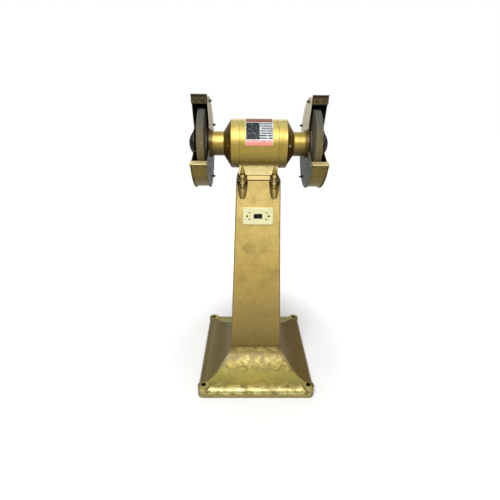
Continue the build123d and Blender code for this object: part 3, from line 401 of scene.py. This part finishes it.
def abrasive():
    """Vitrified grain: olive with dark grit, painted glints and open pores; painted shade on the top and sides of
    the wheel.
    """
    stone = Surface("abrasive", roughness=0.85)
    base = stone.mix(stone.noise(0.03, 4), srgb(92, 84, 42), srgb(136, 117, 54))
    up, radius = stone.above_spindle()
    # painted shade: the top of the wheel, under the deflector, is greyer and darker
    base = stone.mix(stone.step(up, 0.01, 0.1), base, srgb(78, 80, 70))
    grain = stone.cells(0.0011)
    colour = stone.mix(stone.step(grain, 0.35, 0.75), base, srgb(58, 56, 50))
    glint = stone.step(stone.noise(0.0012, 1), 0.66, 0.72)
    colour = stone.mix(stone.times(glint, 0.7), colour, srgb(176, 172, 158))
    # painted shade: the wheel's sides are darker
    side = stone.step(radius, WHEEL_R - 0.0009, WHEEL_R - 0.002)
    colour = stone.mix(stone.times(side, 0.55), colour, srgb(70, 66, 52))
    stone.set("Base Color", colour)
    pores = stone.bump(grain, 0.0004, 0.9)
    stone.set("Normal", stone.bump(stone.noise(0.006, 3), 0.0004, 0.6, pores))
    return stone.material


def worn_steel(name, light, dark, rust, roughness=0.35, rust_share=0.3, metallic=0.85):
    """Plated or ground steel with fine scratches and some tarnish in the hollows."""
    steel = Surface(name, metallic=metallic, roughness=roughness)
    tone = steel.mix(steel.noise(0.006, 4), light, dark)
    scratch = steel.noise(0.0012, 3, stretch=(0.12, 1, 1))
    tone = steel.mix(steel.scale(scratch, 0.35, 0.7, 0.0, 0.4), tone, dark)
    patches = steel.plus(steel.times(steel.hollows(0.006), 0.8), steel.times(steel.noise(0.009, 4), 0.5))
    tarnish = steel.step(patches, 0.85 - rust_share, 1.15 - rust_share)
    steel.set("Base Color", steel.mix(tarnish, tone, rust))
    polish = steel.scale(scratch, 0.3, 0.7, roughness - 0.08, roughness + 0.1)
    steel.set("Roughness", steel.plus(polish, steel.times(tarnish, 0.25)))
    steel.set("Normal", steel.bump(scratch, 0.00008, 0.6))
    return steel.material


def moulded(name, light, dark, roughness, specular=0.5):
    """Moulded plastic with a fine texture and painted shade in its corners."""
    plastic = Surface(name, roughness=roughness, specular=specular)
    colour = plastic.mix(plastic.noise(0.02, 4), light, dark)
    # painted shade in corners
    corner_shade = plastic.step(plastic.hollows(0.006), 0.3, 0.95)
    colour = plastic.mix(plastic.times(corner_shade, 0.7), colour, srgb(60, 54, 40))
    plastic.set("Base Color", colour)
    plastic.set("Roughness", plastic.wander(0.01, 3, roughness - 0.05, roughness + 0.08))
    plastic.set("Normal", plastic.bump(plastic.noise(0.0007, 2), 0.00005, 0.5, plastic.rounded(0.0004)))
    return plastic.material


def cap_enamel():
    """Dark grey enamel on the pressed domes, lightly scuffed, with painted shade in the hollows."""
    paint = Surface("cap_enamel", metallic=0.6, roughness=0.5, specular=0.25)
    colour = paint.mix(paint.noise(0.02, 4), srgb(24, 24, 26), srgb(38, 37, 36))
    scuff = paint.step(paint.noise(0.006, 5, stretch=(1, 1, 0.4)), 0.58, 0.68)
    colour = paint.mix(paint.times(scuff, 0.35), colour, srgb(96, 90, 78))
    # painted shade in the hollows
    colour = paint.mix(paint.step(paint.hollows(0.008), 0.4, 0.95), colour, srgb(30, 28, 26))
    paint.set("Base Color", colour)
    paint.set("Roughness", paint.wander(0.012, 3, 0.28, 0.45))
    paint.set("Normal", paint.bump(paint.noise(0.003, 2), 0.0001, 0.5))
    return paint.material


def deflector_enamel():
    """Dark olive-brown enamel, with a painted sheen of paler streaks across the plate and painted shade on its
    edges.
    """
    paint = Surface("deflector_enamel", metallic=0.5, roughness=0.5, coat=0.05)
    colour = paint.mix(paint.noise(0.03, 3), srgb(60, 50, 26), srgb(76, 64, 34))
    streak = paint.noise(0.01, 3, stretch=(0.12, 1, 1))
    # painted sheen: paler streaks across the plate
    rubbed = paint.times(paint.step(streak, 0.5, 0.72), 0.4)
    colour = paint.mix(rubbed, colour, srgb(112, 96, 56))
    # painted shade: darker along every edge
    colour = paint.mix(paint.times(paint.edges(0.0012), 0.6), colour, srgb(52, 44, 28))
    paint.set("Base Color", colour)
    paint.set("Roughness", paint.scale(streak, 0.3, 0.7, 0.36, 0.5))
    paint.set("Normal", paint.bump(paint.noise(0.004, 3), 0.0002, 0.5))
    return paint.material


def rest_finish():
    """Tool rest: cream-gold enamel rubbed to bright steel along the back edge."""
    paint = Surface("rest_finish", metallic=0.45, roughness=0.35, coat=0.2)
    colour = paint.mix(paint.noise(0.01, 4), srgb(214, 200, 144), srgb(190, 168, 96))
    rub = paint.times(paint.edges(0.002), paint.step(paint.noise(0.006, 4), 0.35, 0.6))
    colour = paint.mix(rub, colour, srgb(214, 208, 190))
    scratch = paint.noise(0.0016, 4, stretch=(0.2, 1, 1))
    colour = paint.mix(paint.step(scratch, 0.6, 0.7), colour, srgb(150, 126, 66))
    paint.set("Base Color", colour)
    paint.set("Roughness", paint.scale(scratch, 0.3, 0.7, 0.28, 0.45))
    paint.set("Normal", paint.bump(scratch, 0.0001, 0.6))
    return paint.material


def label_print():
    """Foil label with plain blocks: red strips, a dark field and a ruled white field, no writing."""
    foil = Surface("label_print", roughness=0.5, specular=0.2)
    up = foil.minus(foil.z, SPINDLE_Z)
    angle = foil.math("ARCTAN2", up, foil.times(foil.y, -1.0))
    white = srgb(206, 210, 210)

    def strip(low, high):
        return foil.band(angle, radians(low), radians(high), 0.004)

    red = foil.mix(foil.noise(0.004, 3), srgb(204, 96, 94), srgb(226, 158, 146))
    plum = foil.mix(foil.noise(0.006, 3), srgb(112, 62, 56), srgb(142, 96, 80))
    dark = foil.mix(foil.step(foil.noise(0.007, 3), 0.5, 0.66), srgb(20, 28, 30), srgb(84, 94, 96))
    rules = foil.math("SINE", foil.times(angle, 2 * pi / RULE_PITCH))
    broken = foil.step(foil.noise(0.006, 2, stretch=(1, 0.2, 0.2)), 0.34, 0.4)
    ruled = foil.times(foil.step(rules, -0.45, 0.0), broken)
    ruled = foil.mix(ruled, white, srgb(46, 52, 56))
    field = foil.mix(foil.step(foil.x, -0.0005, 0.0005), dark, ruled)
    colour = foil.mix(strip(*LABEL_FIELD), white, field)
    dashes = foil.step(foil.noise(0.005, 2, stretch=(1, 0.2, 0.2)), 0.46, 0.54)
    dashes = foil.times(strip(*LABEL_DASHES), dashes)
    red = foil.mix(foil.times(dashes, 0.5), red, white)
    colour = foil.mix(strip(*LABEL_RED), colour, red)
    colour = foil.mix(strip(*LABEL_PLUM), colour, plum)
    print_area = foil.band(foil.x, label_low.x + LABEL_MARGIN, label_high.x - LABEL_MARGIN, 0.0002)
    foil.set("Base Color", foil.mix(print_area, white, colour))
    foil.set("Roughness", foil.wander(0.008, 3, 0.42, 0.6))
    foil.set("Normal", foil.bump(foil.noise(0.012, 3), 0.0002, 0.4))
    return foil.material


def wound_copper():
    """Varnished turns that run round the spindle."""
    wire = Surface("wound_copper", metallic=0.6, roughness=0.4, coat=0.4)
    radius = wire.above_spindle()[1]
    turns = wire.math("SINE", wire.times(radius, 2 * pi / WIRE_PITCH))
    colour = wire.mix(wire.scale(turns, -1, 1, 0, 1), srgb(110, 48, 22), srgb(206, 116, 62))
    varnish = wire.step(wire.noise(0.01, 3), 0.55, 0.75)
    wire.set("Base Color", wire.mix(varnish, colour, srgb(84, 52, 28)))
    wire.set("Normal", wire.bump(turns, 0.0003, 0.8))
    return wire.material


def stacked_steel():
    """Laminations seen edge on along the spindle."""
    steel = Surface("stacked_steel", metallic=0.8, roughness=0.45)
    sheets = steel.math("SINE", steel.times(steel.x, 2 * pi / SHEET_PITCH))
    colour = steel.mix(steel.scale(sheets, -1, 1, 0, 1), srgb(78, 78, 82), srgb(142, 142, 146))
    tarnish = steel.step(steel.noise(0.012, 4), 0.5, 0.75)
    steel.set("Base Color", steel.mix(tarnish, colour, srgb(110, 82, 58)))
    steel.set("Normal", steel.bump(sheets, 0.0001, 0.7))
    return steel.material


def card():
    """Pressed blotter card with short fibres."""
    paper = Surface("card", roughness=0.9)
    fibre = paper.noise(0.0015, 4, stretch=(1, 0.2, 1))
    paper.set("Base Color", paper.mix(fibre, srgb(150, 128, 96), srgb(206, 190, 156)))
    paper.set("Normal", paper.bump(fibre, 0.0001, 0.7))
    return paper.material


ZINC = worn_steel("zinc_steel", srgb(206, 204, 192), srgb(142, 138, 124), srgb(104, 82, 50))
GILT = worn_steel("gilt_steel", srgb(240, 220, 156), srgb(186, 158, 92), srgb(92, 70, 34),
                  rust_share=0.2, metallic=0.6)
BLACK_STEEL = worn_steel("black_steel", srgb(58, 54, 50), srgb(30, 28, 26), srgb(70, 50, 34), roughness=0.45)
BRIGHT = worn_steel("bright_steel", srgb(212, 214, 216), srgb(160, 162, 166), srgb(120, 104, 84),
                    roughness=0.25, rust_share=0.15)
BLACK_PLASTIC = moulded("black_plastic", srgb(12, 12, 12), srgb(24, 23, 21), roughness=0.45, specular=0.2)
IRON = worn_steel("turned_iron", srgb(96, 96, 96), srgb(62, 62, 62), srgb(84, 62, 44),
                  roughness=0.5, metallic=0.7)

finishes = {
    "stand_column": stand_enamel(),
    "rating_label": label_print(),
    "deflector_screws": deflector_enamel(),
    "guard_cover_nuts": IRON,
    "switch_plate": moulded("cream_plastic", srgb(226, 222, 176), srgb(204, 200, 150), roughness=0.3),
    "terminal_block": moulded("terminal_plastic", srgb(206, 200, 176), srgb(178, 170, 142),
                              roughness=0.45),
    "stator_windings": wound_copper(),
    "rotor_cage": worn_steel("cast_aluminium", srgb(200, 202, 204), srgb(160, 162, 166),
                             srgb(120, 112, 100), roughness=0.45, rust_share=0.15),
    "socket_inserts": worn_steel("sprung_brass", srgb(92, 72, 36), srgb(54, 42, 22),
                                 srgb(30, 24, 16), roughness=0.45, rust_share=0.5),
}
finishes.update(dict.fromkeys(("stator_core", "rotor_core"), stacked_steel()))
finishes.update(dict.fromkeys(("motor_frame", "left_end_bell", "right_end_bell", "tie_bolts"),
                              motor_enamel()))
finishes.update(dict.fromkeys(("rocker_switch", "switch_housing", "cable_gland", "gland_locknut"),
                              BLACK_PLASTIC))
finishes.update(dict.fromkeys(("tie_bolt_nuts", "cap_screws", "rear_cover_screws",
                               "switch_back_box"), ZINC))
finishes.update(dict.fromkeys(("foot_bolts", "foot_washers", "foot_nuts", "rear_access_cover"), GILT))
finishes.update(dict.fromkeys(("guard_cover_screws", "guard_mount_screws", "bearing_snap_rings",
                               "switch_plate_screws"), BLACK_STEEL))
finishes.update(dict.fromkeys(("rotor_shaft", "bearing_inner_races"), BRIGHT))
by_side = {
    "grinding_wheel": abrasive(),
    "guard_body": guard_enamel(),
    "spindle_cap": cap_enamel(),
    "spark_deflector": finishes["deflector_screws"],
    "tool_rest": rest_finish(),
    "tool_rest_bolts": ZINC,
    "bearing": BRIGHT,
    "inner_flange": IRON,
    "outer_flange": IRON,
    "wheel_blotters": card(),
    "spindle_nut": BLACK_STEEL,
}
by_side["guard_cover"] = by_side["guard_body"]
for side in ("left", "right"):
    finishes.update({f"{side}_{name}": finish for name, finish in by_side.items()})

for name, node in nodes.items():
    node.data.materials.clear()
    node.data.materials.append(finishes[name])

# ---- floor, lights and camera ---------------------------------------------------------------
MIDDLE = Vector((0, 0, 0.75))
FLOOR_HALF = 14.0
GLOW_START, GLOW_FULL = 0.28, 0.9               # distances at which the floor turns to pure white
BACKDROP_LIGHT = 0.3                            # what the white backdrop gives to the object
CAMERA_PLACE = Vector((-0.0448, -1.3109, 1.1306))
CAMERA_PITCH, CAMERA_YAW, CAMERA_ROLL = 0.4082, 0.01251, -0.01020
CAMERA_LENS, CAMERA_SENSOR = 23.781, 36.0


def put(name, data):
    """New object in the scene with that data."""
    made = bpy.data.objects.new(name, data)
    bpy.context.scene.collection.objects.link(made)
    return made


def aim(lamp, direction):
    """Turn a light so that it shines that way."""
    lamp.rotation_euler = Vector(direction).to_track_quat("-Z", "Y").to_euler()


def softbox(name, place, size, power):
    """Large soft area light that points at the middle of the grinder."""
    light = bpy.data.lights.new(name, "AREA")
    light.shape = "RECTANGLE"
    light.size, light.size_y = size
    light.energy = power
    lamp = put(name, light)
    lamp.location = place
    aim(lamp, MIDDLE - Vector(place))


floor_mesh = bpy.data.meshes.new("floor")
floor_mesh.from_pydata([(-FLOOR_HALF, -FLOOR_HALF, 0), (FLOOR_HALF, -FLOOR_HALF, 0),
                        (FLOOR_HALF, FLOOR_HALF, 0), (-FLOOR_HALF, FLOOR_HALF, 0)], [], [(0, 1, 2, 3)])
floor = put("floor", floor_mesh)
pale = Surface("pale_floor", roughness=0.9)
pale.set("Base Color", pale.mix(pale.noise(1.5, 2), (0.86, 0.86, 0.85, 1), (0.90, 0.90, 0.89, 1)))
reach = pale.node("ShaderNodeVectorMath", {0: pale.place}, operation="LENGTH").outputs["Value"]
to_camera = pale.tree.nodes.new("ShaderNodeLightPath").outputs["Is Camera Ray"]
glow = pale.times(pale.step(reach, GLOW_START, GLOW_FULL), to_camera)
pale.set("Emission Strength", pale.times(glow, 0.5))
pale.shader.inputs["Emission Color"].default_value = (1, 1, 1, 1)
floor_mesh.materials.append(pale.material)

softbox("key_light", (-0.2, -1.7, 2.4), (1.6, 0.9), 42)
softbox("back_light", (-0.4, 3.0, 2.6), (3.0, 1.6), 18)

sun_data = bpy.data.lights.new("overhead_light", "SUN")
sun_data.energy = 1.25
sun_data.angle = radians(35)
aim(put("overhead_light", sun_data), (0.15, 0.5, -1.0))

# the backdrop looks pure white, and gives the object a weaker light than that
world = bpy.data.worlds.new("studio")
bpy.context.scene.world = world
world.use_nodes = True
sky = world.node_tree
backdrop = sky.nodes["Background"]
backdrop.inputs["Color"].default_value = (1.0, 1.0, 1.0, 1)
seen = sky.nodes.new("ShaderNodeMapRange")
sky.links.new(sky.nodes.new("ShaderNodeLightPath").outputs["Is Camera Ray"], seen.inputs[0])
seen.inputs[3].default_value = BACKDROP_LIGHT
seen.inputs[4].default_value = 1.0
sky.links.new(seen.outputs[0], backdrop.inputs["Strength"])
bpy.context.scene.view_settings.view_transform = "Standard"

# the camera stands in front, a little higher than the spindle, and looks down at the grinder
ahead = Vector((sin(CAMERA_YAW) * cos(CAMERA_PITCH), cos(CAMERA_YAW) * cos(CAMERA_PITCH),
                -sin(CAMERA_PITCH)))
level = Vector((cos(CAMERA_YAW), -sin(CAMERA_YAW), 0))
down = ahead.cross(level)
right = cos(CAMERA_ROLL) * level + sin(CAMERA_ROLL) * down
below = cos(CAMERA_ROLL) * down - sin(CAMERA_ROLL) * level
camera_data = bpy.data.cameras.new("camera")
camera_data.sensor_width = CAMERA_SENSOR
camera_data.lens = CAMERA_LENS
camera_data.clip_start = 0.02
camera = put("camera", camera_data)
turn = Matrix((right, -below, -ahead)).transposed().to_4x4()
camera.matrix_world = Matrix.Translation(CAMERA_PLACE) @ turn
bpy.context.scene.camera = camera
